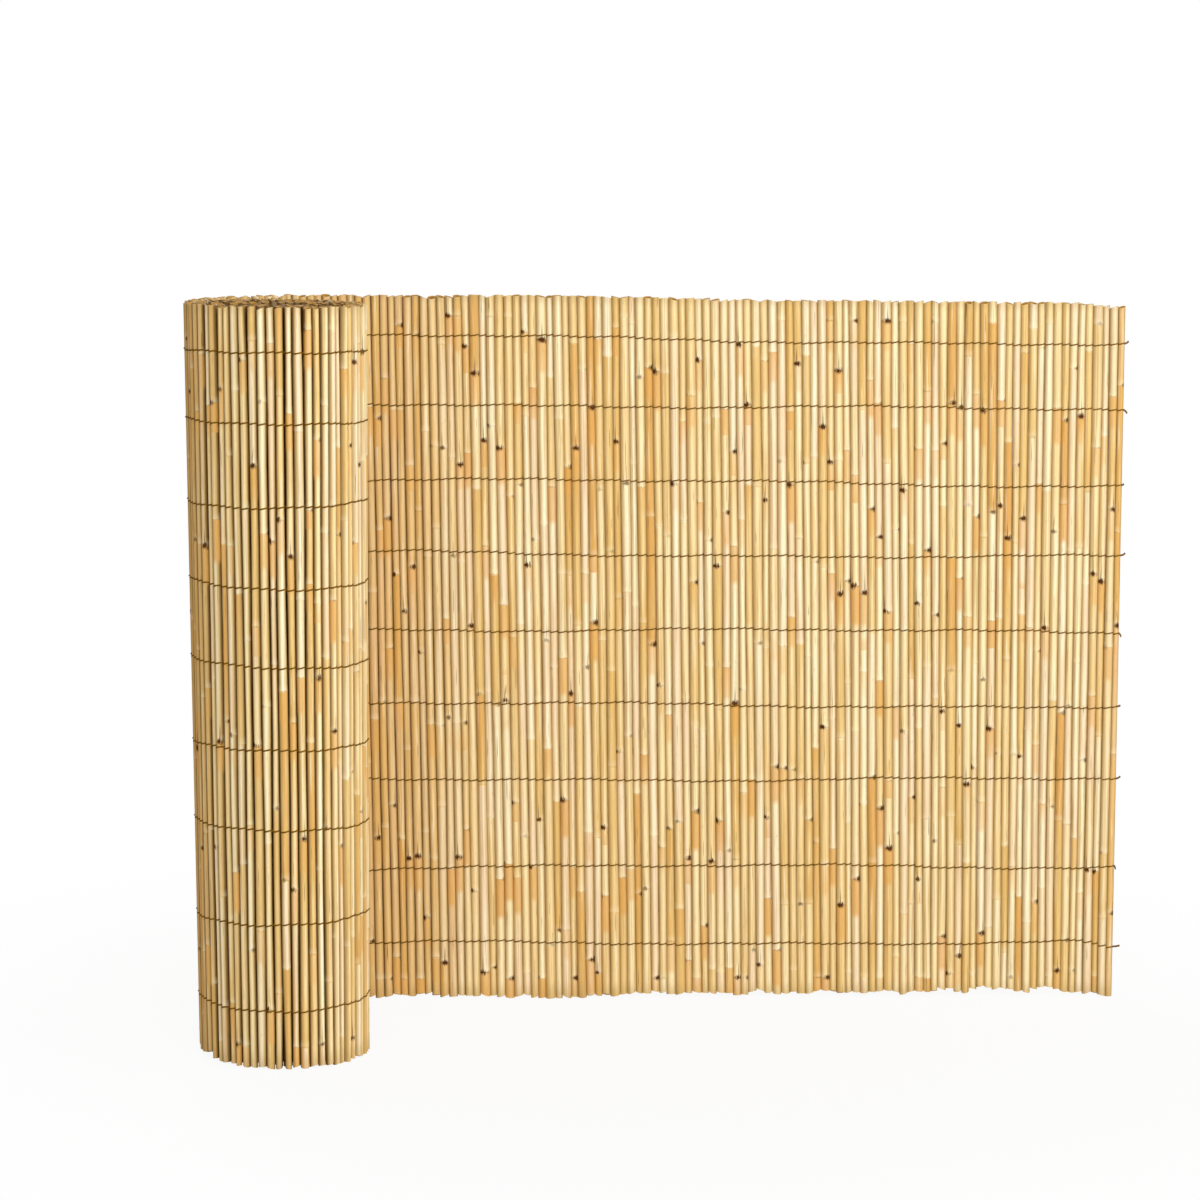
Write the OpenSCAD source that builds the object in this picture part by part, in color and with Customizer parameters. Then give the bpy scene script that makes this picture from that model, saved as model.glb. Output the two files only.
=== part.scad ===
// Cane screening mat, 1 m high, wound up at one end and rolled out flat at the other.
// The mat stands on the feet of its canes, and the origin is on the floor, under the middle
// of its outline in plan. The flat stretch runs along X at the back, and its free end is at +X.

/* [Canes] */
// Height of the screening, which is the length of its longest canes
cane_h = 1000; // [600:10:2000]
// Diameter of the thinnest cane, at its head
thin_d = 9.6; // [7:0.1:10.6]
// Diameter of the thickest cane, at its head
thick_d = 12.8; // [10.8:0.1:15]
// Share by which a cane is thinner at its foot than at its head
cane_taper = 0.045; // [0:0.005:0.2]
// How much higher than the floor the shortest canes end at the foot
foot_play = 14; // [0:1:20]
// How much lower than the screening's height the shortest canes end at the head
head_play = 7.5; // [0:0.5:20]
// Clearance between neighbours where they are closest
clearance = 0.3; // [0.2:0.05:0.6]

/* [Rolled end] */
// Outer diameter of the roll at its head
roll_d = 242; // [230:1:340]
// Half turns of the mat in the roll
half_turns = 10; // [4:1:10]
// Air between the wires of two laps where they are closest
lap_gap = 0.6; // [0.4:0.1:3]
// Share by which the roll is drawn in at its foot
roll_taper = 0.05; // [0:0.005:0.15]

/* [Rolled out end] */
// Length of the flat stretch
sheet_w = 1026; // [400:2:3000]
// Radius at which the mat swings from the roll to the flat stretch
bend_r = 280; // [210:5:400]
// How far the foot of the flat stretch stands nearer to the free end than its head
lean = 30; // [0:1:32]

/* [Binding wire] */
// Thickness of the wire
wire_d = 1.1; // [0.8:0.1:1.4]
// Play between a wire and the cane that it holds
wire_play = 0.2; // [0.15:0.05:0.4]
// Number of wire rows
rows = 9; // [4:1:9]
// Height of the lowest row above the floor
foot_margin = 80; // [40:5:120]
// Distance from the top row up to the head
head_margin = 60; // [40:5:120]
// Length of the twisted tail that stands out at the free end
tail = 9; // [4:1:16]

/* [Hidden] */
// How far each row was woven above its even spacing, from the foot up
row_drift = [1, 4, 23, 22, 21, 21, 16, 15, 1];
// Lines that the feet and the heads follow along the mat, as shares of foot_play and head_play
foot_line = [[0, -0.3], [14, -0.1], [22, 0.15], [40, 0.4], [62, 0.45], [92, 1], [130, 0.65], [190, 0.85], [280, 0.5],
             [420, 0.5], [560, 0.42], [700, 0.5], [780, 0.1], [800, -0.1], [840, -0.1], [860, 0.2],
             [1120, 0.35], [1480, 0.5], [1530, 0.25], [1590, 0.03]];
head_line = [[0, 0.9], [8, 0.65], [30, 0.55], [48, 0.4], [72, 0.05], [140, 0.1], [350, 0.15], [480, 0.35],
             [560, 0.3], [650, 0.12], [760, 0], [880, 0.02], [990, 0.4], [1030, 0.35], [1500, 0.1]];
// Lengths of the two waves that the feet follow besides
foot_waves = [83, 47];
// Share of its lean that the mat has at its free end, and in the roll
free_share = 0.5;
roll_share = 0.8;
// Length in which the lean grows from the free end to the flat stretch
lean_run = 340;
// Steps between neighbouring canes in the three even spreads that vary them
dia_step = 0.618034;
foot_step = 0.754878;
head_step = 0.569840;

// Air between two canes at the head, which the drawn-in foot of the roll uses up
cane_gap = max(clearance, (clearance + (roll_taper - cane_taper) * thick_d) / (1 - roll_taper));
// Distance between two laps of the roll at its head, wide enough for the wires at its foot too
lap = max(lap_need(cane_h), lap_need(0) / (1 - roll_taper));
// Radius of the outermost lap, at the middle of its canes
roll_r = roll_d / 2 - strand_off(cane_h) - wire_d / 2;
// Middle of the swing's circle, level with the roll's axis
bend_x = bend_r - roll_r;
bend_len = bend_r * PI / 2;
free_x = bend_x + sheet_w;
mat_len = sheet_w + bend_len + half_turn_start(half_turns);
row_pitch = (cane_h - foot_margin - head_margin) / (rows - 1);
laps = ceil(half_turns / 2);
// Middle of the first cane, at the free end
first_x = free_x - thin_d / 2;
// Middle of the outline, counted from the roll's axis
mid_x = (first_x + lean * free_share * (1 - foot_margin / cane_h) + strand_off(foot_margin) + tail
         - roll_d / 2) / 2;
mid_y = (bend_r + strand_off(cane_h) + wire_d / 2 - roll_d / 2) / 2;

$fn = 48;

// How far a height lies below the head, from 0 to 1 at the floor
function below_head(z) = 1 - z / cane_h;
// Distance from the middle of the mat to the middle of either strand of a row
function strand_off(z) = thick_d / 2 * (1 - cane_taper * below_head(z)) + wire_play + wire_d / 2;
function lap_need(z) = 2 * strand_off(z) + wire_d + lap_gap;

// The roll is a spiral of half circles about two middles half a lap apart
function half_r(k) = roll_r - k * lap / 2;
function half_x(k) = k % 2 == 0 ? 0 : lap / 2;
function half_angle(k) = k % 2 == 0 ? 180 : 0;
function half_turn_start(k) = PI * (k * roll_r - lap / 4 * k * (k - 1));
function half_turn_at(u, k = 0) =
    k == half_turns - 1 || u < half_turn_start(k + 1) ? k : half_turn_at(u, k + 1);

// Place on the mat's middle and its outward direction, at a length from the free end.
// The roll is drawn in towards the line where the mat leaves it.
function on_sheet(s) = [free_x - s, bend_r, 90];
function on_bend(u) = let (a = 90 + u / bend_len * 90)
    [bend_x + bend_r * cos(a), bend_r * sin(a), a];
function on_roll(u, z) =
    let (k = half_turn_at(u), a = half_angle(k) + (u - half_turn_start(k)) / half_r(k) * 180 / PI,
         draw = 1 - roll_taper * below_head(z))
    [draw * (half_x(k) + half_r(k) * cos(a) + roll_r) - roll_r, draw * half_r(k) * sin(a), a];
function on_upright_mat(s, z) =
    s < sheet_w ? on_sheet(s)
    : s < sheet_w + bend_len ? on_bend(s - sheet_w)
    : on_roll(s - sheet_w - bend_len, z);
function foot_lean(s) = lean * lookup(s, [[0, free_share], [min(lean_run, sheet_w), 1], [sheet_w, 1],
                                          [sheet_w + bend_len, roll_share]]);
function on_mat(s, z) =
    on_upright_mat(s, z) + [below_head(z) * foot_lean(s), 0, 0];
function aside(p, off, turn = 0) = [p.x + off * cos(p.z + turn), p.y + off * sin(p.z + turn)];

// An even spread from 0 to 1 over the canes
function spread(i, step) = (i * step) % 1;
function head_d(i) = thin_d + (thick_d - thin_d) * spread(i, dia_step);
// Feet rise and fall along the mat in a line that neighbours share, and stand where it meets the floor
function foot_swell(s) = sin(s / foot_waves[0] * 360) + sin(s / foot_waves[1] * 360);
function cane_foot(i) =
    let (s = stations[i], line = lookup(s, foot_line))
    foot_play * min(1, max(0, line + (0.04 + 0.15 * line) * foot_swell(s)
                              + 0.08 * (spread(i, foot_step) - 0.5)));
function cane_head(i) =
    cane_h - head_play * min(1, max(0, lookup(stations[i], head_line) + 0.2 * (spread(i, head_step) - 0.5)));

// Length along the mat at which each cane stands, from the free end to the roll's core
stations = [for (i = 0, s = head_d(0) / 2; s < mat_len - head_d(i) / 2;
                 s = s + (head_d(i) + head_d(i + 1)) / 2 + cane_gap, i = i + 1) s];

// Middle of a cane at a height: it lies against the outer or the inner strands by turns
function cane_mid(i, z) =
    aside(on_mat(stations[i], z),
          (i % 2 == 0 ? 0.5 : -0.5) * (thick_d - head_d(i)) * (1 - cane_taper * below_head(z)));

module cane(i) {
    low = cane_foot(i);
    high = cane_head(i);
    from = cane_mid(i, low);
    across = cane_mid(i, high) - from;
    tilt = atan2(norm(across), high - low);
    low_d = head_d(i) * (1 - cane_taper * below_head(low));
    high_d = head_d(i) * (1 - cane_taper * below_head(high));
    translate([from.x - mid_x, from.y - mid_y, low + low_d / 2 * sin(tilt)])
        rotate([0, tilt, atan2(across.y, across.x)])
            cylinder(d1 = low_d, d2 = high_d,
                     h = (high - low) / cos(tilt) - (low_d + high_d) / 2 * tan(tilt));
}

// The canes that stand from one length of the mat up to another
module canes_between(from, to) {
    for (i = [0 : len(stations) - 1])
        if (stations[i] >= from && stations[i] < to) cane(i);
}

module sheet_canes() color("burlywood") canes_between(0, sheet_w);

module bend_canes() color("tan") canes_between(sheet_w, sheet_w + bend_len);

module roll_lap(n) {
    start = sheet_w + bend_len;
    color(n % 2 == 0 ? "burlywood" : "wheat")
        canes_between(start + half_turn_start(2 * n - 2), start + half_turn_start(2 * n));
}

// Canes at which the wires change direction: most of the flat stretch needs only its ends
bending = [for (i = [0 : len(stations) - 1])
               if (i == 0 || i == len(stations) - 1 || stations[i + 1] > sheet_w) i];

// Closed line round all the canes: out to the core along the outer side, back along the inner
function round_canes(off, z, end) =
    let (at = [for (i = bending) on_mat(stations[i], z)], core = at[len(at) - 1])
    concat([for (p = at) aside(p, off)],
           [for (turn = [30 : 30 : 150]) aside(core, off, turn)],
           [for (n = [len(at) - 1 : -1 : 0]) aside(at[n], off, 180)],
           [for (turn = [210 : 30 : 240]) aside(at[0], off, turn)],
           end,
           [for (turn = [300 : 30 : 330]) aside(at[0], off, turn)]);

// Corners of the twisted tail that stands out past the first cane
function tail_end(off, z) = [for (corner = [[0, -1], [tail, -1], [tail, 1], [0, 1]])
    [on_mat(stations[0], z).x + off + corner.x, bend_r + corner.y * wire_d]];

module wire_row(n) {
    z = foot_margin + (n - 1) * row_pitch + row_drift[n - 1];
    off = strand_off(z);
    outer = round_canes(off + wire_d / 2, z, tail_end(off, z));
    inner = round_canes(off - wire_d / 2, z, []);
    color("dimgray") translate([-mid_x, -mid_y, z - wire_d / 2])
        linear_extrude(height = wire_d)
            polygon(concat(outer, inner),
                    [[for (k = [0 : len(outer) - 1]) k],
                     [for (k = [0 : len(inner) - 1]) len(outer) + k]]);
}

sheet_canes();
bend_canes();
for (n = [1 : laps]) {
    roll_lap(n);
}
for (n = [1 : rows]) {
    wire_row(n);
}
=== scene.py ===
"""Looks of the cane screening roll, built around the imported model.

The script is laid out as a Blender add-on and is run as a script. All lengths are in metres,
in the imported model's frame: +X is towards the mat's free end, +Y is behind the flat stretch,
and the floor is at z = 0.
"""

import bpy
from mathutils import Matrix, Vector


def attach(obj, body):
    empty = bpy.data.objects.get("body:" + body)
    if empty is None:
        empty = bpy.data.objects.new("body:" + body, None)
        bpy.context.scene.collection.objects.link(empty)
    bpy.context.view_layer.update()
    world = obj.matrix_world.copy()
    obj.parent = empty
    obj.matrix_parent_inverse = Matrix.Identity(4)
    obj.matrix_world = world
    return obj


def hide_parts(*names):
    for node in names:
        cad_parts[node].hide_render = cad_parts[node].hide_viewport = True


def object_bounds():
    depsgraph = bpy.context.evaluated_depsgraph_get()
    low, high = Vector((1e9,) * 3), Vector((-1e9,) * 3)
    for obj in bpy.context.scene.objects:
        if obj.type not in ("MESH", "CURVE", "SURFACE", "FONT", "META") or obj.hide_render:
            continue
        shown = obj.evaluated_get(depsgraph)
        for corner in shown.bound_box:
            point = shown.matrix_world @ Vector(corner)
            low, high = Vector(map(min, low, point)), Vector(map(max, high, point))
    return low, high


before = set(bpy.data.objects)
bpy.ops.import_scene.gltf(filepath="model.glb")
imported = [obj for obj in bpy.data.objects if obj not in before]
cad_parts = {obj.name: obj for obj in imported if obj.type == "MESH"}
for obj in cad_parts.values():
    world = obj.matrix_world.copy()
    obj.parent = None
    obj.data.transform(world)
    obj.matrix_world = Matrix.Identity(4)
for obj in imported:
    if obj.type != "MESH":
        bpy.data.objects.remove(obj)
CAD_BOX = [list(corner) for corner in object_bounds()]

import math

import bpy
import numpy as np
from bpy.props import FloatProperty, FloatVectorProperty, IntProperty, PointerProperty
from mathutils import Matrix, Vector

bl_info = {
    "name": "Cane screening roll",
    "version": (1, 0, 0),
    "blender": (4, 5, 0),
    "location": "View3D > Sidebar > Cane screen",
    "description": "Builds a wired reed mat that is part rolled up and part rolled out",
    "category": "Add Mesh",
}

BODY = "root"
LAPS = 5
HEIGHT = CAD_BOX[1][2] - CAD_BOX[0][2]


def srgb(red, green, blue):
    """Linear colour of an sRGB colour given in steps from 0 to 255."""
    share = np.array([red, green, blue]) / 255
    linear = np.where(share > 0.04045, ((share + 0.055) / 1.055) ** 2.4, share / 12.92)
    return tuple(float(c) for c in linear)


class ScreenMat(bpy.types.PropertyGroup):
    """The mat's own measures, as in the part's source."""

    height: FloatProperty(
        name="Height", description="Length of the longest canes",
        default=1.0, min=0.6, max=2, unit="LENGTH")
    thin: FloatProperty(
        name="Thinnest cane", description="Diameter of the thinnest cane at its head",
        default=0.0096, min=0.007, max=0.0106, precision=4, unit="LENGTH")
    thick: FloatProperty(
        name="Thickest cane", description="Diameter of the thickest cane at its head",
        default=0.0128, min=0.0108, max=0.015, precision=4, unit="LENGTH")
    taper: FloatProperty(
        name="Cane taper", description="Share by which a cane is thinner at its foot",
        default=0.045, min=0, max=0.2, precision=3, subtype="FACTOR")
    foot_play: FloatProperty(
        name="Foot play", description="How far above the floor the shortest canes end",
        default=0.014, min=0, max=0.02, precision=4, unit="LENGTH")
    head_play: FloatProperty(
        name="Head play", description="How far below the head the shortest canes end",
        default=0.0075, min=0, max=0.02, precision=4, unit="LENGTH")
    clearance: FloatProperty(
        name="Clearance", description="Air between neighbours where they are closest",
        default=0.0003, min=0.0002, max=0.0006, precision=5, unit="LENGTH")
    roll_width: FloatProperty(
        name="Roll diameter", description="Outer diameter of the roll at its head",
        default=0.242, min=0.23, max=0.34, unit="LENGTH")
    half_turns: IntProperty(
        name="Half turns", description="Half turns of the mat in the roll", default=10, min=4, max=10)
    lap_gap: FloatProperty(
        name="Lap gap", description="Air between the wires of two laps where they are closest",
        default=0.0006, min=0.0004, max=0.003, precision=5, unit="LENGTH")
    roll_taper: FloatProperty(
        name="Roll taper", description="Share by which the roll is drawn in at its foot",
        default=0.05, min=0, max=0.15, precision=3, subtype="FACTOR")
    flat_length: FloatProperty(
        name="Flat stretch", description="Length of the flat stretch",
        default=1.026, min=0.4, max=3, unit="LENGTH")
    swing: FloatProperty(
        name="Swing radius", description="Radius at which the mat swings to the flat stretch",
        default=0.28, min=0.21, max=0.4, unit="LENGTH")
    lean: FloatProperty(
        name="Lean", description="How far the flat stretch's foot stands nearer to the free end",
        default=0.03, min=0, max=0.032, precision=4, unit="LENGTH")


class ScreenWire(bpy.types.PropertyGroup):
    """The binding wire's measures, as in the part's source."""

    width: FloatProperty(
        name="Wire", description="Thickness of one strand",
        default=0.0011, min=0.0008, max=0.0014, precision=4, unit="LENGTH")
    play: FloatProperty(
        name="Play", description="Play between a strand and the cane that it holds",
        default=0.0002, min=0.00015, max=0.0004, precision=5, unit="LENGTH")
    rows: IntProperty(name="Rows", description="Number of wire rows", default=9, min=4, max=9)
    foot_margin: FloatProperty(
        name="Foot margin", description="Height of the lowest row above the floor",
        default=0.08, min=0.04, max=0.12, unit="LENGTH")
    head_margin: FloatProperty(
        name="Head margin", description="Distance from the top row up to the head",
        default=0.06, min=0.04, max=0.12, unit="LENGTH")
    tail: FloatProperty(
        name="Tail", description="Length of the twisted tail at the free end",
        default=0.009, min=0.004, max=0.016, precision=4, unit="LENGTH")
    wander: FloatProperty(
        name="Wander", description="How far a row strays up and down along the mat",
        default=0.0028, min=0, max=0.006, precision=4, unit="LENGTH")
    colour: FloatVectorProperty(
        name="Wire colour", description="Dark annealed wire",
        default=srgb(134, 94, 10), subtype="COLOR", size=3, min=0, max=1)


def tint(name, description, *rgb):
    """A colour setting with its sRGB default in steps from 0 to 255."""
    return FloatVectorProperty(
        name=name, description=description, default=srgb(*rgb), subtype="COLOR", size=3, min=0, max=1)


class ScreenReed(bpy.types.PropertyGroup):
    """Colours and relief of the peeled reeds, and the colours of their painted shade."""

    pale: tint("Pale", "Nearly white reeds", 254, 244, 208)
    cream: tint("Cream", "Cream yellow reeds", 253, 235, 184)
    straw: tint("Straw", "Straw coloured reeds", 247, 218, 158)
    blush: tint("Blush", "Pinkish reeds", 250, 224, 188)
    gold: tint("Gold", "Golden reeds", 234, 197, 122)
    amber: tint("Amber", "Orange brown reeds", 226, 170, 92)
    # painted shade: brown painted on each reed's sides where it faces its neighbours, and near the floor and at
    # the heads
    painted_shade: tint("Groove", "Reeds where they face their neighbours", 188, 154, 92)
    # painted shade in the seams between reeds and on the hidden laps of the roll; also the real brown halo round
    # the knot scars
    seam: tint("Seam", "Dark seams between reeds", 104, 72, 20)
    knot: tint("Knot", "Scars of the knots", 84, 46, 14)
    # painted shade on the roll's recessed odd canes and on the shaded stretches of the mat, and the real stain
    # below the knots
    shade_and_stain: tint("Shade and stain", "Reeds at the ends of the flat stretch and in the roll", 222, 166, 84)
    stain: tint("Stain", "Weather stains", 200, 156, 82)
    cut: tint("Cut", "Sawn ends", 204, 152, 70)
    # painted shade: the reed's hollow is painted nearly black down into its depth
    bore: tint("Bore", "Hollow of a reed", 44, 26, 10)
    bulge: FloatProperty(
        name="Knot bulge", description="How far a knot stands out of its reed",
        default=0.00018, min=0, max=0.001, precision=5, unit="LENGTH")
    crook: FloatProperty(
        name="Crook", description="How far the seam between two reeds strays to either side",
        default=0.0006, min=0, max=0.0015, precision=5, unit="LENGTH")
    gap: FloatProperty(
        name="Gap", description="Widest even gap between two reeds on the outside of the roll",
        default=0.0030, min=0, max=0.004, precision=4, unit="LENGTH")
    overlap: FloatProperty(
        name="Press", description="How far neighbours on the flat stretch are pressed into each other",
        default=0.0008, min=0, max=0.0012, precision=4, unit="LENGTH")
    wall: FloatProperty(
        name="Bore", description="Width of the bore as a share of the reed's diameter",
        default=0.68, min=0.3, max=0.8, subtype="FACTOR")
    bore_depth: FloatProperty(
        name="Bore depth", description="How far the bore can be seen into",
        default=0.012, min=0.004, max=0.03, precision=4, unit="LENGTH")
    seed: IntProperty(name="Seed", description="Seed of all that varies", default=7, min=0)


class ScreenStage(bpy.types.PropertyGroup):
    """Floor, lights and camera."""

    floor: tint("Floor", "Pale floor", 240, 239, 236)
    key: FloatProperty(name="Key light", description="Power of the front light", default=168, min=0)
    fill: FloatProperty(name="Sky", description="Strength of the light from all round", default=0.28, min=0)


GROUPS = {"screen_mat": ScreenMat, "screen_wire": ScreenWire,
          "screen_reed": ScreenReed, "screen_stage": ScreenStage}


def by_length(*stops):
    """Values along the mat: pairs of a length in millimetres and a value, as lengths in metres."""
    lengths, values = np.array(stops, float).T
    return lengths / 1000, values


class MatPlan:
    """The part's own formulas for where each cane and each wire row stands.

    The mat is followed from its free end to the roll's core. s is the length along its middle,
    z the height. The roll is a spiral of half circles about two middles half a lap apart.
    """

    FOOT_LINE = by_length(
        (0, -0.3), (14, -0.1), (22, 0.15), (40, 0.4), (62, 0.45), (92, 1), (130, 0.65), (190, 0.85),
        (280, 0.5), (420, 0.5), (560, 0.42), (700, 0.5), (780, 0.1), (800, -0.1), (840, -0.1),
        (860, 0.2), (1120, 0.35), (1480, 0.5), (1530, 0.25), (1590, 0.03))
    HEAD_LINE = by_length(
        (0, 0.9), (8, 0.65), (30, 0.55), (48, 0.4), (72, 0.05), (140, 0.1), (350, 0.15), (480, 0.35),
        (560, 0.3), (650, 0.12), (760, 0), (880, 0.02), (990, 0.4), (1030, 0.35), (1500, 0.1))
    FOOT_WAVES = 0.083, 0.047
    FREE_SHARE, ROLL_SHARE, LEAN_RUN = 0.5, 0.8, 0.34

    def __init__(self, mat, wire):
        self.mat, self.wire = mat, wire
        self.gap = max(mat.clearance, (mat.clearance + (mat.roll_taper - mat.taper) * mat.thick)
                       / (1 - mat.roll_taper))
        self.lap = max(self.lap_need(mat.height), self.lap_need(0) / (1 - mat.roll_taper))
        self.roll_r = mat.roll_width / 2 - self.strand_off(mat.height) - wire.width / 2
        self.swing_x = mat.swing - self.roll_r
        self.roll_start = mat.flat_length + mat.swing * math.pi / 2
        self.free_x = self.swing_x + mat.flat_length
        turns = np.arange(mat.half_turns + 1)
        self.turn_starts = math.pi * (turns * self.roll_r - self.lap / 4 * turns * (turns - 1))
        self.length = self.roll_start + self.turn_starts[-1]
        foot_row = wire.foot_margin
        self.middle = np.array([
            (self.free_x - mat.thin / 2 + mat.lean * self.FREE_SHARE * self.below(foot_row)
             + self.strand_off(foot_row) + wire.tail - mat.roll_width / 2) / 2,
            (mat.swing + self.strand_off(mat.height) + wire.width / 2 - mat.roll_width / 2) / 2])
        width = self.diameter(np.arange(int(self.length / mat.thin) + 2))
        steps = (width[:-1] + width[1:]) / 2 + self.gap
        stations = width[0] / 2 + np.concatenate([[0], np.cumsum(steps)])
        self.stations = stations[stations < self.length - width / 2]
        self.cane_count = len(self.stations)
        edge = (self.diameter(np.arange(self.cane_count)) + self.gap) / 2
        self.seams = np.append(self.stations - edge, self.stations[-1] + edge[-1])

    def below(self, z):
        """How far a height lies below the head, from 0 to 1 at the floor."""
        return 1 - z / self.mat.height

    def strand_off(self, z):
        """Distance from the mat's middle to the middle of a strand in the source."""
        return (self.mat.thick / 2 * (1 - self.mat.taper * self.below(z))
                + self.wire.play + self.wire.width / 2)

    def lap_need(self, z):
        """Room that one lap needs: both strands, one wire and the air between laps."""
        return 2 * self.strand_off(z) + self.wire.width + self.mat.lap_gap

    def diameter(self, i):
        """Diameter at the head, evenly spread between thin and thick in golden steps."""
        return self.mat.thin + (self.mat.thick - self.mat.thin) * ((i * 0.618034) % 1)

    def foot(self, i):
        """Height of a cane's foot: a line along the mat, with two waves, cut off at the floor."""
        s = self.stations[i]
        line = np.interp(s, *self.FOOT_LINE)
        swell = sum(np.sin(s / wave * 2 * np.pi) for wave in self.FOOT_WAVES)
        play = line + (0.04 + 0.15 * line) * swell + 0.08 * ((i * 0.754878) % 1 - 0.5)
        return self.mat.foot_play * np.clip(play, 0, 1)

    def head(self, i):
        """Height of a cane's head: a line along the mat, cut off at the mat's height."""
        play = np.interp(self.stations[i], *self.HEAD_LINE) + 0.2 * ((i * 0.569840) % 1 - 0.5)
        return self.mat.height - self.mat.head_play * np.clip(play, 0, 1)

    def place(self, s, z):
        """Middle of the mat at length s and height z, with the angle of its outward side.

        On the flat stretch it is a straight line along X, then a quarter circle, then the
        spiral, which is drawn in towards the line where the mat leaves it. Everything leans
        towards the free end at the foot. Returns x, y and the angle in radians.
        """
        s, z = np.broadcast_arrays(np.asarray(s, float), np.asarray(z, float))
        mat = self.mat
        bend = np.pi / 2 + (s - mat.flat_length) / mat.swing
        u = s - self.roll_start
        k = np.clip(np.searchsorted(self.turn_starts, u, side="right") - 1, 0, mat.half_turns - 1)
        radius = self.roll_r - k * self.lap / 2
        turn = np.where(k % 2 == 0, np.pi, 0) + (u - self.turn_starts[k]) / radius
        draw = 1 - mat.roll_taper * self.below(z)
        roll_x = draw * (np.where(k % 2 == 0, 0, self.lap / 2) + radius * np.cos(turn)
                         + self.roll_r) - self.roll_r
        stretch = [s < mat.flat_length, s < self.roll_start]
        x = np.select(stretch, [self.free_x - s, self.swing_x + mat.swing * np.cos(bend)], roll_x)
        y = np.select(stretch, [mat.swing, mat.swing * np.sin(bend)], draw * radius * np.sin(turn))
        angle = np.select(stretch, [np.pi / 2, bend], turn)
        lean = np.interp(s, [0, self.LEAN_RUN, mat.flat_length, self.roll_start],
                         [self.FREE_SHARE, 1, 1, self.ROLL_SHARE])
        x = x + mat.lean * lean * self.below(z)
        return x - self.middle[0], y - self.middle[1], angle

    def spacing(self, s, z):
        """How much closer the canes stand at a height than their lengths along the mat say."""
        step = 0.002
        x0, y0, _ = self.place(s - step, z)
        x1, y1, _ = self.place(s + step, z)
        return np.hypot(x1 - x0, y1 - y0) / (2 * step)

    def side_off(self, i, z):
        """How far a cane stands outwards: even canes lie at the outer strands, odd ones inside."""
        sign = np.where(i % 2 == 0, 0.5, -0.5)
        return sign * (self.mat.thick - self.diameter(i)) * (1 - self.mat.taper * self.below(z))

    def axis_at(self, i, z):
        """Middle of a cane at a height, and the angle of the mat's outward side there."""
        x, y, angle = self.place(self.stations[i], z)
        off = self.side_off(i, z)
        return x + off * np.cos(angle), y + off * np.sin(angle), angle


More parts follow.
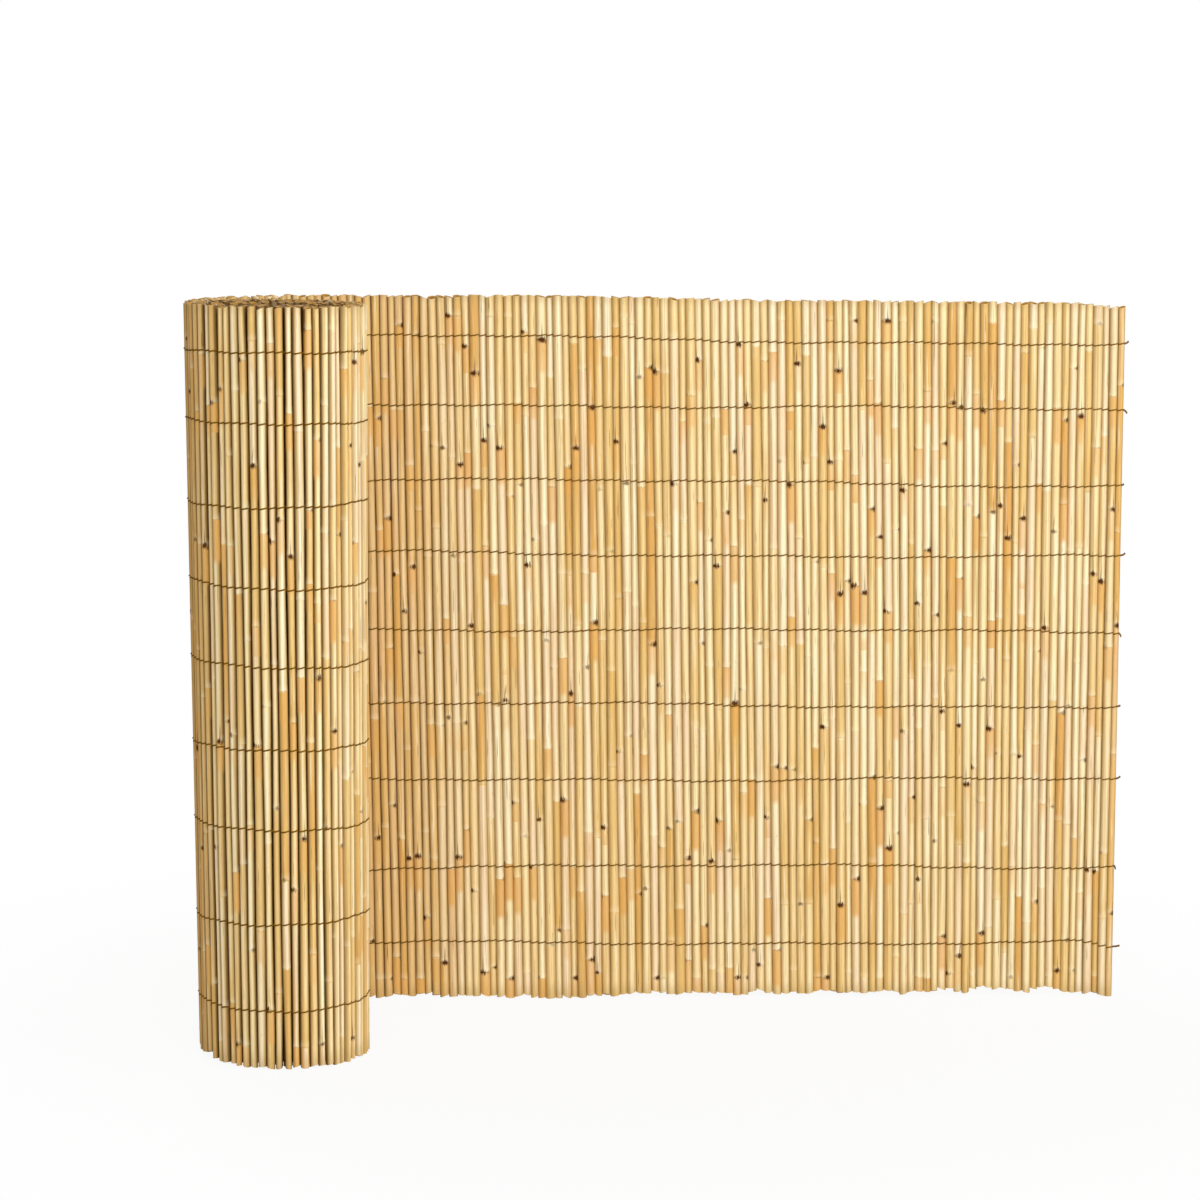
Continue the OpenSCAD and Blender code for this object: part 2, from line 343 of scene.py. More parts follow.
class ReedBed:
    """All that varies from cane to cane, drawn once for the whole mat.

    Seam j lies between cane j - 1 and cane j. It strays to either side of its place as a sum
    of three waves, and a reed fills the room between its two seams.
    """

    KNOTS = 5
    PEEL = 0.00002
    # Stretches painted in shade, by length along the mat: the free end, the flat stretch beside the swing and the
    # start of the swing, and the roll's left side.
    SHADED_LENGTHS = by_length((0, 1.4), (10, 1.2), (14, 0.5), (60, 0), (920, 0), (1000, 1.0), (1120, 1.4), (1200, 0.1),
                     (1440, 0.1), (1462, 1.9), (1510, 1.7), (1545, 0.4), (1600, 0))
    # Where the roll's right side faces the light, less shade is painted.
    ROLL_LIT_SIDE = by_length((1700, 0), (1740, 0.8), (1860, 0.8), (1900, 0))
    WEDGE_REACH = 0.10
    WEDGES = ((0.137, 0.0030, 0.0), (0.210, 0.0034, 0.0), (0.271, 0.0042, 0.0), (0.098, 0.0018, 0.0),
              (0.171, 0.0, 0.0040), (0.279, 0.0, 0.0036), (0.120, 0.0, 0.0022))

    def __init__(self, plan, reed):
        self.plan, self.reed = plan, reed
        chance, count = np.random.default_rng(reed.seed), plan.cane_count
        slots = (np.arange(self.KNOTS) + 0.5) / self.KNOTS
        places = (slots + (chance.random((count, self.KNOTS)) - 0.5) * 0.12
                  + (chance.random((count, 1)) - 0.5) * 0.2)
        self.knot_z = np.clip(places, 0.03, 0.97) * plan.mat.height
        self.knot_bold = chance.random((count, self.KNOTS))
        self.tone = (np.arange(count) * 0.414214 + 0.35 * chance.random(count)) % 1
        self.step_tone = chance.random((count, self.KNOTS + 1))
        self.slant = chance.random((count, 2))
        self.phase = chance.random((count, 6)) * 2 * np.pi
        flip = (np.arange(self.KNOTS) + np.floor(chance.random((count, 1)) * 2)) % 2
        self.bud = flip * np.pi + (chance.random((count, self.KNOTS)) - 0.5) * 2.5
        self.seam_phase = chance.random((count + 1, 3)) * 2 * np.pi
        into_roll = plan.seams - plan.roll_start
        outside = np.interp(into_roll, [-0.10, 0.0, plan.turn_starts[2], plan.turn_starts[2] + 0.02], [0, 1, 1, 0])
        self.seam_gap = outside * (0.0003 + reed.gap * chance.random(count + 1) ** 1.4)
        self.seam_gap = np.where(into_roll > plan.turn_starts[2], 0.0004, self.seam_gap)
        self.seam_gap -= reed.overlap * (1 - outside) * (into_roll < 0)
        self.free = np.ones(count + 1)
        self.free[[0, -1]] = 0
        self.wedge = np.zeros((count + 1, 2))
        for place, at_head, at_foot in self.WEDGES:
            self.wedge[np.abs(into_roll - place).argmin()] = at_head, at_foot

    def seam(self, j, z):
        """Where the reed before a seam ends and the next one starts, as lengths along the mat."""
        own = self.seam_phase[j]
        stray = self.reed.crook * self.free[j] * (
            np.sin(z * 6.5 + own[..., 0]) + 0.6 * np.sin(z * 14 + own[..., 1])
            + 0.3 * np.sin(z * 31 + own[..., 2]))
        near_head = np.clip((z - self.plan.mat.height) / self.WEDGE_REACH + 1, 0, 1)
        near_foot = np.clip(1 - z / self.WEDGE_REACH, 0, 1)
        gap = (self.seam_gap[j] * (0.7 + 0.3 * np.sin(z * 5 + own[..., 2]))
               + self.wedge[j][..., 0] * near_head + self.wedge[j][..., 1] * near_foot)
        middle = self.plan.seams[j] + stray
        return middle - gap / 2, middle + gap / 2

    def shape(self, i, z):
        """A reed at a height: its middle, half its width along the mat, half its depth across
        the mat, and the angle of the mat's outward side.
        """
        start, end = self.seam(i, z)[1], self.seam(i + 1, z)[0]
        scale = self.plan.spacing(self.plan.stations[i], z)
        shift = ((start + end) / 2 - self.plan.stations[i]) * scale
        deep = self.plan.diameter(i) / 2 * (1 - self.plan.mat.taper * self.plan.below(z)) - self.PEEL
        x, y, angle = self.plan.axis_at(i, z)
        return (x - shift * np.sin(angle), y + shift * np.cos(angle),
                (end - start) / 2 * scale, deep, angle)


def ring_faces(rings, sides):
    """Corner numbers of the quads between each ring of points and the next, facing outwards."""
    ring = np.arange(rings - 1)[:, None] * sides
    here = np.arange(sides)[None, :]
    after = (here + 1) % sides
    return np.stack([ring + here, ring + after, ring + sides + after, ring + sides + here],
                    axis=-1).reshape(-1, 4)


def new_mesh(name, points, quads, caps):
    """Mesh object from points, quads and flat caps of many corners, made from whole arrays."""
    mesh = bpy.data.meshes.new(name)
    cap_sides = caps.shape[1] if len(caps) else 0
    corners = np.concatenate([quads.ravel(), caps.ravel()]).astype(np.int32)
    totals = np.concatenate([np.full(len(quads), 4), np.full(len(caps), cap_sides)]).astype(np.int32)
    starts = np.concatenate([[0], np.cumsum(totals)[:-1]]).astype(np.int32)
    mesh.vertices.add(len(points))
    mesh.vertices.foreach_set("co", points.astype(np.float32).ravel())
    mesh.loops.add(len(corners))
    mesh.loops.foreach_set("vertex_index", corners)
    mesh.polygons.add(len(totals))
    mesh.polygons.foreach_set("loop_start", starts)
    mesh.polygons.foreach_set("use_smooth", np.ones(len(totals), bool))
    mesh.update(calc_edges=True)
    mesh.validate()
    mesh.set_sharp_from_angle(angle=math.radians(50))
    piece = bpy.data.objects.new(name, mesh)
    bpy.context.scene.collection.objects.link(piece)
    return piece


def put_vectors(piece, name, values):
    """Stores one vector for each point of a piece."""
    attribute = piece.data.attributes.new(name, "FLOAT_VECTOR", "POINT")
    attribute.data.foreach_set("vector", values.astype(np.float32).ravel())


def reeds(name, bed, canes, sides, seen):
    """Mesh of a run of reeds, each a profile turned about its own crooked middle.

    The profile runs from the bottom of the foot's bore out over the sawn rim, up the skin
    and back into the head's bore. At each knot the skin swells to its bulge on one ring.
    Sawn ends are slanted planes. A reed that is mostly hidden has no knots.
    """
    plan, reed = bed.plan, bed.reed
    i = canes[:, None]
    foot, head = plan.foot(canes)[:, None], plan.head(canes)[:, None]
    knots = bed.knot_z[canes]
    if seen:
        near_knot = (knots[:, :, None] + np.array([-0.003, 0, 0.003])).reshape(len(canes), -1)
        edges = np.concatenate([foot, knots, head], axis=1)
        between = (edges[:, 1:] + edges[:, :-1]) / 2
        level = np.sort(np.concatenate([near_knot, between], axis=1), axis=1)
    else:
        level = foot + (head - foot) * np.array([[0.33, 0.67]])
    depth = reed.bore_depth
    z = np.concatenate([foot + depth, foot, foot, level, head, head, head - depth], axis=1)
    rings = z.shape[1]
    wide = np.ones(rings)
    wide[[0, 1, -2, -1]] = reed.wall
    bore = np.zeros(rings)
    bore[[0, 1, -2, -1]] = 1.0, 0.5, 0.5, 1.0
    end = np.zeros(rings, int)
    end[:3], end[-3:] = -1, 1

    gap = z[:, :, None] - knots[:, None, :]
    nearest = np.abs(gap).argmin(axis=2)
    from_knot = np.take_along_axis(gap, nearest[..., None], 2)[..., 0]
    bold = np.take_along_axis(bed.knot_bold[canes], nearest, 1)
    bud = np.take_along_axis(bed.bud[canes], nearest, 1)
    step = np.take_along_axis(bed.step_tone[canes], (gap > -0.0001).sum(axis=2), 1)
    above = np.where(np.abs(from_knot) < 0.08, np.sign(np.round(from_knot, 5)), 0)

    angle = np.arange(sides) / sides * 2 * np.pi
    x, y, radius, deep, outward = bed.shape(i, z)
    swell = reed.bulge * (np.abs(from_knot) < 0.0005) * (0.4 + bold) * seen
    radius, deep = radius * wide + swell, deep * wide + swell
    lean = (0.06 + 0.34 * bed.slant[canes])[:, (end < 0).astype(int)] * np.abs(end)
    facing = bed.phase[canes, 4:6][:, (end < 0).astype(int)][:, :, None]
    rim = np.where(end < 0, radius[:, 2:3], radius[:, -3:-2])[:, :, None]
    drop = lean[:, :, None] * (np.cos(angle - facing) * radius[:, :, None] - rim) * end[None, :, None]
    points = np.empty((len(canes), rings, sides, 3))
    out, along = deep[:, :, None] * np.cos(angle), radius[:, :, None] * np.sin(angle)
    cos, sin = np.cos(outward)[:, :, None], np.sin(outward)[:, :, None]
    points[..., 0] = x[:, :, None] + out * cos - along * sin
    points[..., 1] = y[:, :, None] + out * sin + along * cos
    points[..., 2] = z[:, :, None] + drop

    one = ring_faces(rings, sides)
    start = (np.arange(len(canes)) * rings * sides)[:, None, None]
    quads = (one[None] + start).reshape(-1, 4)
    low_cap = np.arange(sides)[::-1][None, None] + start
    high_cap = (np.arange(sides) + (rings - 1) * sides)[None, None] + start
    caps = np.concatenate([low_cap, high_cap], axis=1).reshape(-1, sides)
    piece = new_mesh(name, points.reshape(-1, 3), quads, caps)

    around = points[..., :2] - np.stack([x, y], -1)[:, :, None]
    shift = bed.tone[canes][:, None, None, None] * 37
    level_shift = points[..., 2] + canes[:, None, None] * 1.7
    put_vectors(piece, "reed_at", np.concatenate([around + shift, level_shift[..., None]], axis=-1))
    every = np.ones(points.shape[:3])
    side = np.abs(np.sin(angle)) * every
    # share of painted shade in the roll: less on its lit right side, more on the hidden laps
    rolled = np.clip((plan.stations[canes] - plan.roll_start) / 0.05 + 1, 0, 1)[:, None, None]
    rolled = rolled * (1 - np.interp(plan.stations[canes], *bed.ROLL_LIT_SIDE)[:, None, None]) + (0 if seen else 0.6)
    put_vectors(piece, "reed_face", np.stack([side, rolled * every, bore[None, :, None] * every], -1))
    from_bud = angle - bud[:, :, None]
    put_vectors(piece, "reed_bud", np.stack(
        [np.cos(from_bud), np.sin(from_bud), np.abs(from_knot)[..., None] * every], -1))
    # painted shade share: the shaded stretches of the mat and the recessed odd canes of the roll
    shade_and_stain = np.interp(plan.stations[canes], *bed.SHADED_LENGTHS)[:, None, None]
    odd = np.maximum((canes % 2)[:, None, None] * rolled * 0.35, shade_and_stain)
    put_vectors(piece, "reed_tone", np.stack(
        [bed.tone[canes][:, None, None] * every, step[..., None] * every, odd * every], -1))
    put_vectors(piece, "reed_knot", np.stack(
        [above[..., None] * every, bold[..., None] * every, every], -1))
    return piece


def tube(paths, width, sides):
    """Points, quads and caps of round wires carried along paths of points.

    Each ring stands square to the path: one direction across is level, the other is what is
    left at right angles to it and to the path.
    """
    all_points, all_quads, all_caps, start = [], [], [], 0
    angle = np.arange(sides) / sides * 2 * np.pi
    for path in paths:
        along = np.gradient(path, axis=0)
        along /= np.linalg.norm(along, axis=1, keepdims=True)
        level = np.cross(along, [0.0, 0.0, 1.0])
        level /= np.linalg.norm(level, axis=1, keepdims=True)
        rise = np.cross(level, along)
        points = (path[:, None] + width / 2 * (level[:, None] * np.cos(angle)[None, :, None]
                                               + rise[:, None] * np.sin(angle)[None, :, None]))
        quads = ring_faces(len(path), sides)[:, ::-1]
        first = np.arange(sides)[None]
        last = (np.arange(sides) + (len(path) - 1) * sides)[::-1][None]
        all_points.append(points.reshape(-1, 3))
        all_quads.append(quads + start)
        all_caps.append(np.concatenate([first, last]) + start)
        start += len(path) * sides
    return np.concatenate(all_points), np.concatenate(all_quads), np.concatenate(all_caps)


def strand(bed, row, level, first_side):
    """Path of one strand of a wire row, from its tail at the free end to the core.

    Over each cane it follows an arc about the cane's middle, by turns in front and behind,
    and between two canes it passes through the gap. It climbs by one wire width over each
    cane, so that the two strands lie in a half twist in every gap.
    """
    plan, wire = bed.plan, bed.plan.wire
    canes = np.arange(plan.cane_count)
    z = level + row_wander(bed, row, plan.stations)
    side = np.where(canes % 2 == 0, 1, -1) * first_side
    x, y, radius, deep, angle = bed.shape(canes, z)
    turns = np.radians([-40, 0, 40])
    out = side[:, None] * np.cos(turns) * (deep + wire.width * 0.12)[:, None]
    along = np.sin(turns) * (radius + wire.width * 0.12)[:, None]
    climb = np.array([-0.8, 0, 0.8]) * wire.width
    cos, sin = np.cos(angle)[:, None], np.sin(angle)[:, None]
    arcs = np.stack([x[:, None] + out * cos - along * sin, y[:, None] + out * sin + along * cos,
                     z[:, None] + climb * side[:, None]], axis=-1)
    gaps = np.concatenate([(arcs[:-1, -1] + arcs[1:, 0]) / 2, arcs[-1:, -1]])
    path = np.concatenate([arcs, gaps[:, None]], axis=1).reshape(-1, 3)[:-1]
    turns = np.linspace(2.6 * np.pi, 0, 9)
    reach = np.linspace(1, 0, 9)
    root = x[0] + radius[0] * 0.96
    limit = (plan.place(plan.stations[0], level)[0] + plan.strand_off(level)
             + wire.tail * (0.95 if row == 1 else 0.28 + 0.25 * math.sin(row * 2.4)))
    twist = first_side * wire.width / 2
    tail = np.stack([root + (limit - root) * reach, y[0] + twist * np.cos(turns),
                     z[0] + twist * np.sin(turns) + 0.5 * wire.tail * reach ** 2
                     * np.sin(row * 2.1 + 0.7)], axis=-1)
    return np.concatenate([tail, path])


def row_wander(bed, row, s):
    """How far a wire row strays from its level: two slow waves and a small fast one.

    The lowest row also hangs down over the last few canes of the free end.
    """
    stray = bed.plan.wire.wander * (0.8 * np.sin(s * 5.3 + row * 2.4) + 0.5 * np.sin(s * 14 + row * 1.1)
                                    + 0.35 * np.sin(s * 61 + row * 3.7))
    return stray - (0.012 * np.clip(1 - s / 0.07, 0, 1) ** 2 if row == 1 else 0)


class Value:
    """A number socket that adds Math nodes when it is calculated with."""

    def __init__(self, nodes, socket):
        self.nodes, self.socket = nodes, socket

    def maths(self, operation, *others, clamp=False):
        return self.nodes.add("ShaderNodeMath", {"operation": operation, "use_clamp": clamp},
                              dict(enumerate((self,) + others)))

    def __add__(self, other): return self.maths("ADD", other)
    def __radd__(self, other): return self.maths("ADD", other)
    def __mul__(self, other): return self.maths("MULTIPLY", other)
    def __rmul__(self, other): return self.maths("MULTIPLY", other)
    def __sub__(self, other): return self.maths("SUBTRACT", other)
    def __rsub__(self, other): return self.nodes.number(other).maths("SUBTRACT", self)
    def __truediv__(self, other): return self.maths("DIVIDE", other)
    def __pow__(self, other): return self.maths("POWER", other)
    def __abs__(self): return self.maths("ABSOLUTE")
    def capped(self): return self.maths("ADD", 0.0, clamp=True)

    def step(self, low, high, start=0.0, end=1.0):
        """Smooth step of the value from start at low to end at high."""
        return self.nodes.add("ShaderNodeMapRange", {"interpolation_type": "SMOOTHSTEP"},
                              {"Value": self, "From Min": low, "From Max": high,
                               "To Min": start, "To Max": end})


class Nodes:
    """Adds shader nodes to a material or a world."""

    def __init__(self, owner):
        owner.use_nodes = True
        self.tree = owner.node_tree
        self.tree.nodes.clear()

    def number(self, number):
        """A plain number as a value that can be calculated with."""
        node = self.tree.nodes.new("ShaderNodeValue")
        node.outputs[0].default_value = number
        return Value(self, node.outputs[0])

    def add(self, kind, settings=None, inputs=None, output=0):
        """Any node: its type, its settings, its sockets' values or links, and which output."""
        node = self.tree.nodes.new(kind)
        for name, setting in (settings or {}).items():
            if name == "stops":
                ramp = node.color_ramp
                while len(ramp.elements) < len(setting):
                    ramp.elements.new(1.0)
                for element, (place, colour) in zip(ramp.elements, setting):
                    element.position = place
                    element.color = tuple(colour) + (1.0,)
            else:
                setattr(node, name, setting)
        for name, value in (inputs or {}).items():
            socket = node.inputs[name]
            if isinstance(value, Value):
                self.tree.links.new(value.socket, socket)
            elif hasattr(value, "__len__") and len(value) == 3 and socket.type == "RGBA":
                socket.default_value = tuple(value) + (1.0,)
            else:
                socket.default_value = value
        return Value(self, node.outputs[output]) if len(node.outputs) else None

    def attribute(self, name, output="Fac"):
        return self.add("ShaderNodeAttribute", {"attribute_name": name}, output=output)

    def parts(self, vector):
        """The three numbers of a vector."""
        node = self.tree.nodes.new("ShaderNodeSeparateXYZ")
        self.tree.links.new(vector.socket, node.inputs[0])
        return [Value(self, socket) for socket in node.outputs]

    def mix(self, share, first, second, blend="MIX"):
        """Colour between first and second."""
        node = self.tree.nodes.new("ShaderNodeMix")
        node.data_type, node.blend_type = "RGBA", blend
        for socket, value in zip((node.inputs[0], node.inputs[6], node.inputs[7]), (share, first, second)):
            if isinstance(value, Value):
                self.tree.links.new(value.socket, socket)
            elif socket.type == "RGBA":
                socket.default_value = tuple(value) + (1.0,)
            else:
                socket.default_value = value
        return Value(self, node.outputs[2])

    def noise(self, at, scale, detail=2.0, roughness=0.5):
        """Even noise around 0.5 at scaled coordinates."""
        spread = self.add("ShaderNodeVectorMath", {"operation": "MULTIPLY"}, {0: at, 1: scale})
        return self.add("ShaderNodeTexNoise", {}, {"Vector": spread, "Scale": 1.0, "Detail": detail,
                                                   "Roughness": roughness})


def reed_material(reed):
    """Peeled reed: a tone for each cane and stretch, long fibres, stains and dark knots, with painted shade on the
    reeds' sides, in the seams, near the floor and heads, in the bores, on the hidden laps and on shaded stretches.
    """
    material = bpy.data.materials.new("peeled_reed")
    nodes = Nodes(material)
    at = nodes.attribute("reed_at", "Vector")
    side, rolled, bore = nodes.parts(nodes.attribute("reed_face", "Vector"))
    facing, across, from_knot = nodes.parts(nodes.attribute("reed_bud", "Vector"))
    tone, step, odd = nodes.parts(nodes.attribute("reed_tone", "Vector"))
    above, bold, _ = nodes.parts(nodes.attribute("reed_knot", "Vector"))

    drift = nodes.noise(at, (60, 60, 5), 2.0)
    shade = tone * 0.40 + step * 0.60 + (drift - 0.5) * 0.45
    colour = nodes.add("ShaderNodeValToRGB", {"stops": [
        (0.02, reed.amber), (0.13, reed.gold), (0.25, reed.straw), (0.37, reed.cream), (0.48, reed.pale),
        (0.58, reed.blush), (0.66, reed.cream), (0.76, reed.straw), (0.87, reed.gold), (0.98, reed.amber)]},
        {"Fac": shade})
    # painted shade on the roll's recessed odd canes and on the shaded stretches of the mat
    colour = nodes.mix((odd * 0.52).capped(), colour, reed.shade_and_stain)

    fibre = nodes.noise(at, (1500, 1500, 14), 3.0, 0.6)
    colour = nodes.mix(fibre.step(0.40, 0.72, 0.0, 0.28), colour, reed.stain)
    streak = nodes.noise(at, (420, 420, 5.5), 2.0)
    colour = nodes.mix(streak.step(0.50, 0.74, 0.0, 0.62), colour, reed.stain)
    bleach = nodes.noise(at, (300, 300, 9), 2.0)
    colour = nodes.mix(bleach.step(0.54, 0.72, 0.0, 0.55), colour, reed.pale)
    spots = nodes.noise(at, (650, 650, 90), 2.0)
    colour = nodes.mix(spots.step(0.66, 0.78, 0.0, 0.5), colour, reed.stain)

    # painted shade on each reed's sides where it faces its neighbours, stronger in the roll
    colour = nodes.mix(side.step(0.12, 0.88) * (0.70 + rolled * 0.20).capped(), colour, reed.painted_shade)
    # painted shade near the floor and, fainter, just below the heads
    height = nodes.parts(nodes.add("ShaderNodeTexCoord", {}, {}, "Object"))[2]
    ends = height.step(0.004, 0.030, 0.5, 0.0) + height.step(0.982, 0.998, 0.0, 0.35)
    colour = nodes.mix(ends, colour, reed.painted_shade)
    # painted shade in the seams between reeds, and the hidden laps of the roll painted dark
    seams = nodes.noise(at, (120, 120, 6), 1.0)
    dark = side.step(0.66, 0.98) * (seams.step(0.56, 0.74) * 0.45 + rolled * 0.6 + odd * 0.6).capped()
    hidden = rolled.step(1.1, 1.5, 0.0, 0.78)
    colour = nodes.mix((dark + hidden).capped(), colour, reed.seam)
    slits = nodes.noise(at, (800, 800, 15), 1.0)
    colour = nodes.mix(slits.step(0.72, 0.76, 0.0, 0.8), colour, reed.knot)

    patch = nodes.noise(at, (500, 500, 120), 1.0) - 0.5
    over, under = (above * 1.0).capped(), (above * -1.0).capped()
    colour = nodes.mix(from_knot.step(0.0, 0.012, 0.22, 0.0) * over.step(0.0, 0.05), colour, reed.pale)
    ripe = (from_knot - bold * 0.04).step(0.010, 0.022, 1.0, 0.0) * under.step(0.0, 0.05)
    colour = nodes.mix(ripe * (bold * 1.6 - 0.6).capped() * 0.8, colour, reed.shade_and_stain)
    strong = (bold * 2.2 - 0.12).capped()
    line = (from_knot + patch * 0.002).step(0.0004, 0.0022, 1.0, 0.0) * patch.step(-0.05, 0.15) * bold * 0.4
    width = across * (2.3 - bold * 0.9) + patch * 2.4
    rise = from_knot * (450 - bold * 160) + patch * 2.4
    spread = width * width + rise * rise
    shown = facing.step(-0.1, 0.2) * strong
    colour = nodes.mix(spread.step(0.9, 3.2, 0.55, 0.0) * shown, colour, reed.seam)
    spot = spread.step(0.5, 1.2, 1.0, 0.0) * shown
    scar = (line + spot).capped()
    colour = nodes.mix(scar, colour, reed.knot)
    channel = (abs(across).step(0.06, 0.16, 1.0, 0.0) * facing.step(0.3, 0.6) * over.step(0.0, 0.05)
               * from_knot.step(0.004, 0.030, 0.75, 0.0) * strong)
    colour = nodes.mix(channel, colour, reed.knot)

    colour = nodes.mix(bore.step(0.10, 0.35), colour, reed.cut)
    # painted shade: the bore darkens to nearly black below its rim
    colour = nodes.mix(bore.step(0.50, 0.75), colour, reed.bore)

    relief = fibre * 0.00008 - scar * 0.00015
    bump = nodes.add("ShaderNodeBump", {}, {"Strength": 0.6, "Distance": 1.0, "Height": relief})
    rough = 0.46 + fibre * 0.22 + scar * 0.3 + bore.step(0.10, 0.35) * 0.4
    shader = nodes.add("ShaderNodeBsdfPrincipled", {}, {
        "Base Color": colour, "Roughness": rough, "Normal": bump, "Specular IOR Level": 0.2})
    nodes.add("ShaderNodeOutputMaterial", {}, {"Surface": shader})
    return material


def wire_material(wire):
    """Dark annealed wire, dull, with a browner bloom in patches."""
    material = bpy.data.materials.new("annealed_wire")
    nodes = Nodes(material)
    at = nodes.add("ShaderNodeTexCoord", {}, {}, "Object")
    bloom = nodes.noise(at, (420, 420, 420), 3.0)
    dark = tuple(c * 0.55 for c in wire.colour)
    colour = nodes.mix(bloom.step(0.35, 0.65), tuple(wire.colour), dark)
    shader = nodes.add("ShaderNodeBsdfPrincipled", {}, {
        "Base Color": colour, "Roughness": 0.6 + bloom * 0.3, "Specular IOR Level": 0.12})
    nodes.add("ShaderNodeOutputMaterial", {}, {"Surface": shader})
    return material


def finish_piece(piece, material, slot, *nodes):
    """Gives a piece its material and body, and hides the CAD nodes that it stands for. The slot is not used."""
    piece.data.materials.append(material)
    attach(piece, BODY)
    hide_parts(*nodes)


def material_named(name, make, settings):
    """The material of that name, made at its first use."""
    return bpy.data.materials.get(name) or make(settings)


def reed_bed(scene):
    return ReedBed(MatPlan(scene.screen_mat, scene.screen_wire), scene.screen_reed)


def reed_piece(scene, name, start, end, sides, seen):
    """One piece for the canes that stand from one length of the mat up to another."""
    bed = reed_bed(scene)
    canes = np.flatnonzero((bed.plan.stations >= start) & (bed.plan.stations < end))
    if not len(canes):
        raise RuntimeError("no cane stands in " + name)
    piece = reeds(name + "_reeds", bed, canes, sides, seen)
    finish_piece(piece, material_named("peeled_reed", reed_material, scene.screen_reed), "cane", name)


class SCREEN_OT_flat_stretch(bpy.types.Operator):
    """Reeds of the flat stretch"""

    bl_idname = "screen.flat_stretch"
    bl_label = "Flat stretch"

    def execute(self, context):
        reed_piece(context.scene, "sheet_canes", 0, context.scene.screen_mat.flat_length, 12, True)
        return {"FINISHED"}


class SCREEN_OT_swing(bpy.types.Operator):
    """Reeds of the quarter circle that joins the flat stretch to the roll"""

    bl_idname = "screen.swing"
    bl_label = "Swing"

    def execute(self, context):
        scene = context.scene
        plan = reed_bed(scene).plan
        reed_piece(scene, "bend_canes", scene.screen_mat.flat_length, plan.roll_start, 12, True)
        return {"FINISHED"}


class SCREEN_OT_roll(bpy.types.Operator):
    """Reeds of the roll, one piece for each lap; only the outer lap shows its skin"""

    bl_idname = "screen.roll"
    bl_label = "Roll"

    def execute(self, context):
        plan = reed_bed(context.scene).plan
        for n in range(1, LAPS + 1):
            start = plan.roll_start + plan.turn_starts[2 * n - 2]
            end = plan.roll_start + plan.turn_starts[2 * n]
            reed_piece(context.scene, f"roll_lap_{n}", start, end, 12 if n == 1 else 8, n == 1)
        return {"FINISHED"}


class SCREEN_OT_wires(bpy.types.Operator):
    """Rows of two strands of wire that are half twisted between the reeds"""

    bl_idname = "screen.wires"
    bl_label = "Wire rows"

    ROUND = 2.0
    ROW_DRIFT = (0.001, 0.004, 0.023, 0.022, 0.021, 0.021, 0.016, 0.015, 0.001)

    def execute(self, context):
        scene = context.scene
        wire = scene.screen_wire
        bed = reed_bed(scene)
        pitch = (scene.screen_mat.height - wire.foot_margin - wire.head_margin) / (wire.rows - 1)
        material = material_named("annealed_wire", wire_material, wire)
        for n in range(1, wire.rows + 1):
            z = wire.foot_margin + (n - 1) * pitch + self.ROW_DRIFT[n - 1]
            paths = [strand(bed, n, z, side) for side in (1, -1)]
            piece = new_mesh(f"wire_row_{n}_strands", *tube(paths, wire.width * self.ROUND, 5))
            finish_piece(piece, material, "wire", f"wire_row_{n}")
        return {"FINISHED"}


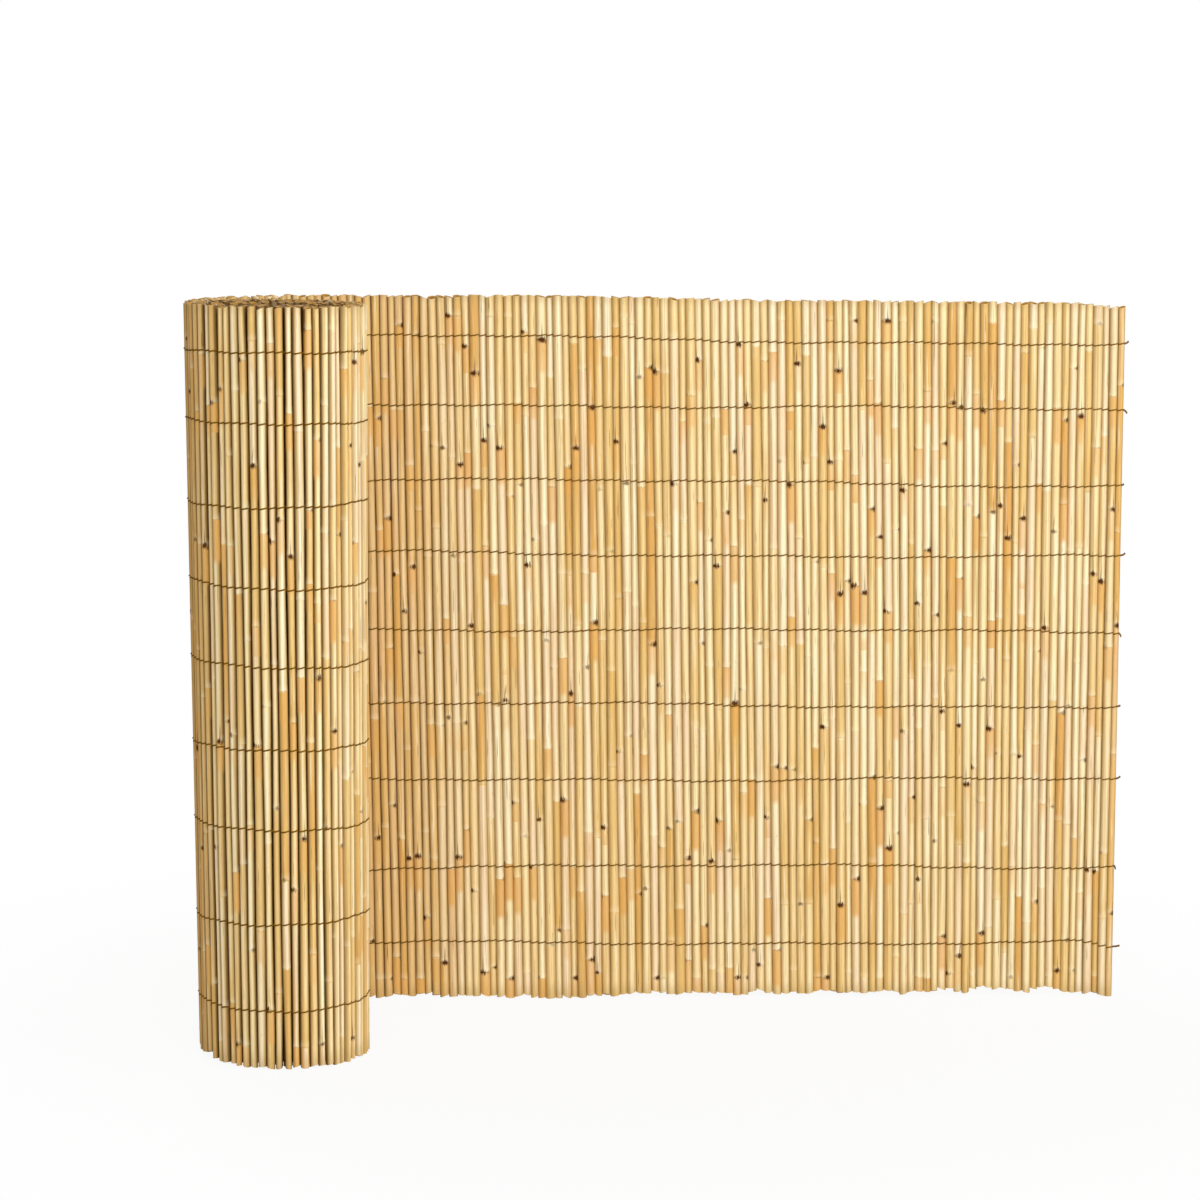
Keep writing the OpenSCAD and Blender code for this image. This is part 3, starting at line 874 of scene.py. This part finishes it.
class SCREEN_OT_stage(bpy.types.Operator):
    """Pale floor, soft studio light, white background and the camera"""

    bl_idname = "screen.stage"
    bl_label = "Stage"

    FOCUS_PIXELS, FRAME_PIXELS, SENSOR = 3679.1, 1200, 36
    CAMERA_AT = (-0.5343, -4.9178, 1.2441)
    YAW, PITCH, ROLL = 4.946, -7.451, 0.975

    def execute(self, context):
        scene = context.scene
        self.floor(scene)
        self.sky(scene)
        self.lamp(scene, "front_light", (0.3, -4.6, 2.7), 2.6, scene.screen_stage.key)
        self.lamp(scene, "side_light", (4.2, -1.6, 2.2), 2.4, scene.screen_stage.key * 0.42)
        self.lamp(scene, "back_light", (-1.5, 4.4, 3.0), 2.6, scene.screen_stage.key * 0.60)
        camera = bpy.data.cameras.new("camera")
        camera.sensor_width = self.SENSOR
        camera.lens = self.SENSOR * self.FOCUS_PIXELS / self.FRAME_PIXELS
        camera.clip_end = 100
        view = bpy.data.objects.new("camera", camera)
        scene.collection.objects.link(view)
        view.matrix_world = (Matrix.Translation(self.CAMERA_AT)
                             @ Matrix.Rotation(math.radians(-self.YAW), 4, "Z")
                             @ Matrix.Rotation(math.radians(90 + self.PITCH), 4, "X")
                             @ Matrix.Rotation(math.radians(self.ROLL), 4, "Z"))
        scene.camera = view
        scene.view_settings.view_transform = "Standard"
        return {"FINISHED"}

    @staticmethod
    def floor(scene):
        """A wide pale floor that turns white away from the object."""
        half = 30.0
        mesh = bpy.data.meshes.new("floor")
        mesh.from_pydata([(-half, -half, 0), (half, -half, 0), (half, half, 0), (-half, half, 0)], [],
                         [(0, 1, 2, 3)])
        floor = bpy.data.objects.new("floor", mesh)
        scene.collection.objects.link(floor)
        material = bpy.data.materials.new("pale_floor")
        nodes = Nodes(material)
        at = nodes.add("ShaderNodeTexCoord", {}, {}, "Object")
        reach = nodes.add("ShaderNodeVectorMath", {"operation": "LENGTH"}, {0: at}, "Value")
        rays = nodes.add("ShaderNodeLightPath", {}, {}, "Is Camera Ray")
        plain = nodes.add("ShaderNodeBsdfDiffuse", {}, {"Color": tuple(scene.screen_stage.floor)})
        white = nodes.add("ShaderNodeEmission", {}, {"Color": (1.0, 1.0, 1.0), "Strength": 1.0})
        away = reach.step(0.3, 1.5, 0.90, 1.0) * rays
        shader = nodes.add("ShaderNodeMixShader", {}, {0: away, 1: plain, 2: white})
        nodes.add("ShaderNodeOutputMaterial", {}, {"Surface": shader})
        mesh.materials.append(material)

    @staticmethod
    def sky(scene):
        """Even light from all round; the camera, gloss and glass see plain white."""
        world = bpy.data.worlds.new("studio")
        scene.world = world
        nodes = Nodes(world)
        seen = (nodes.add("ShaderNodeLightPath", {}, {}, "Is Camera Ray")
                + nodes.add("ShaderNodeLightPath", {}, {}, "Is Glossy Ray")
                + nodes.add("ShaderNodeLightPath", {}, {}, "Is Transmission Ray")).capped()
        even = nodes.add("ShaderNodeBackground", {}, {"Color": (1.0, 1.0, 1.0),
                                                      "Strength": scene.screen_stage.fill})
        white = nodes.add("ShaderNodeBackground", {}, {"Color": (1.0, 1.0, 1.0), "Strength": 1.0})
        sky = nodes.add("ShaderNodeMixShader", {}, {0: seen, 1: even, 2: white})
        nodes.add("ShaderNodeOutputWorld", {}, {"Surface": sky})

    @staticmethod
    def lamp(scene, name, place, size, power):
        """A square soft light that faces the middle of the object."""
        light = bpy.data.lights.new(name, "AREA")
        light.energy, light.size = power, size
        lamp = bpy.data.objects.new(name, light)
        scene.collection.objects.link(lamp)
        aim = Vector((0.0, 0.0, 0.5)) - Vector(place)
        lamp.matrix_world = Matrix.Translation(place) @ aim.to_track_quat("-Z", "Y").to_matrix().to_4x4()


OPERATORS = (SCREEN_OT_stage, SCREEN_OT_flat_stretch, SCREEN_OT_swing, SCREEN_OT_roll, SCREEN_OT_wires)


class SCREEN_PT_panel(bpy.types.Panel):
    """The operators and settings of the screening roll"""

    bl_idname = "SCREEN_PT_panel"
    bl_label = "Cane screen"
    bl_space_type = "VIEW_3D"
    bl_region_type = "UI"
    bl_category = "Cane screen"

    def draw(self, context):
        for operator in OPERATORS:
            self.layout.operator(operator.bl_idname)
        for name, group in GROUPS.items():
            box = self.layout.box()
            for setting in group.__annotations__:
                box.prop(getattr(context.scene, name), setting)


CLASSES = tuple(GROUPS.values()) + OPERATORS + (SCREEN_PT_panel,)


def register():
    for item in CLASSES:
        bpy.utils.register_class(item)
    for name, group in GROUPS.items():
        setattr(bpy.types.Scene, name, PointerProperty(type=group))


def unregister():
    for name in GROUPS:
        delattr(bpy.types.Scene, name)
    for item in reversed(CLASSES):
        bpy.utils.unregister_class(item)


def main():
    """Builds everything in order."""
    register()
    for operator in OPERATORS:
        group, name = operator.bl_idname.split(".")
        getattr(getattr(bpy.ops, group), name)()


if __name__ == "__main__":
    main()
